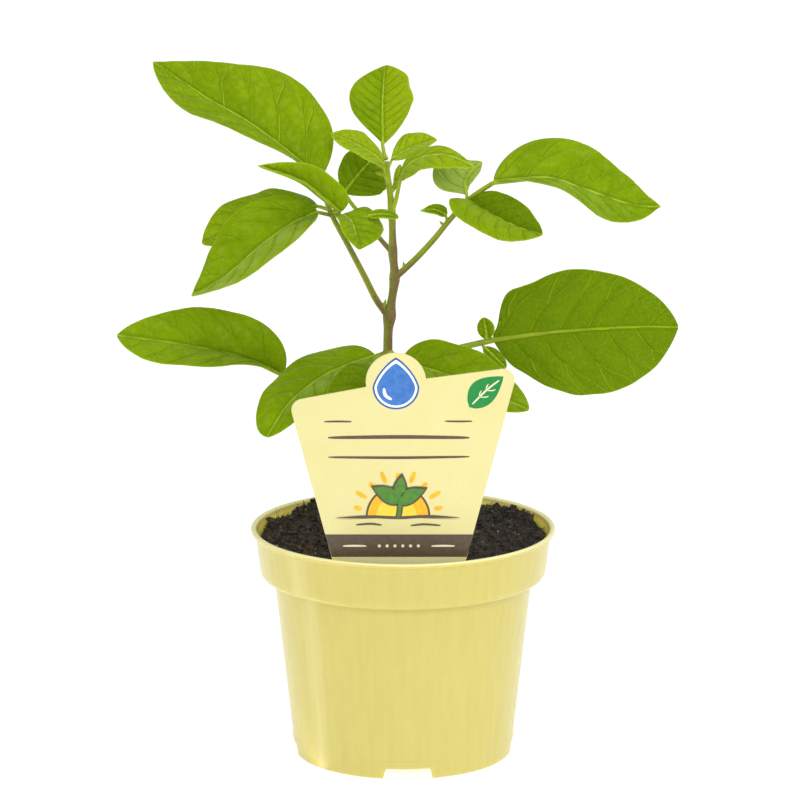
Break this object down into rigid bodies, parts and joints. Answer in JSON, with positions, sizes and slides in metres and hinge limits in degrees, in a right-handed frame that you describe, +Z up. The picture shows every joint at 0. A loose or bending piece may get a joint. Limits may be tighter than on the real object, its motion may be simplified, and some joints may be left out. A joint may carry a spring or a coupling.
{
  "type": "potted pepino melon plant",
  "caption": "Young pepino melon plant in a pale yellow nursery pot, with waved leaves on a branching stem and a die-cut plant label in its soil.",
  "frame": {"origin": "middle of the pot's foot, on the surface that it stands on", "axes": "+Z up along the pot's axis; -Y is the front, where the label's printed side faces"},
  "size_m": [0.2187, 0.12, 0.2735],
  "materials": {
    "pot": "satin",
    "soil": "rough",
    "label": "printed, satin",
    "stem": "finely hairy",
    "leaf": "soft sheen"
  },
  "bodies": {
    "root": {"pot": "pot", "potting_soil": "soil", "plant_label": "label", "main_stem": "stem", "growing_tip": "leaf", "leaf_upper_left": "leaf", "leaf_upper_right": "leaf", "leaf_back": "leaf", "leaf_top": "leaf", "leaf_crown_left": "leaf", "leaf_crown_right": "leaf", "leaf_arching": "leaf", "leaf_lower_left": "leaf", "leaf_front_left": "leaf", "leaf_inner_front": "leaf", "leaf_lower_right": "leaf", "leaf_front_right": "leaf"}
  },
  "joints": []
}
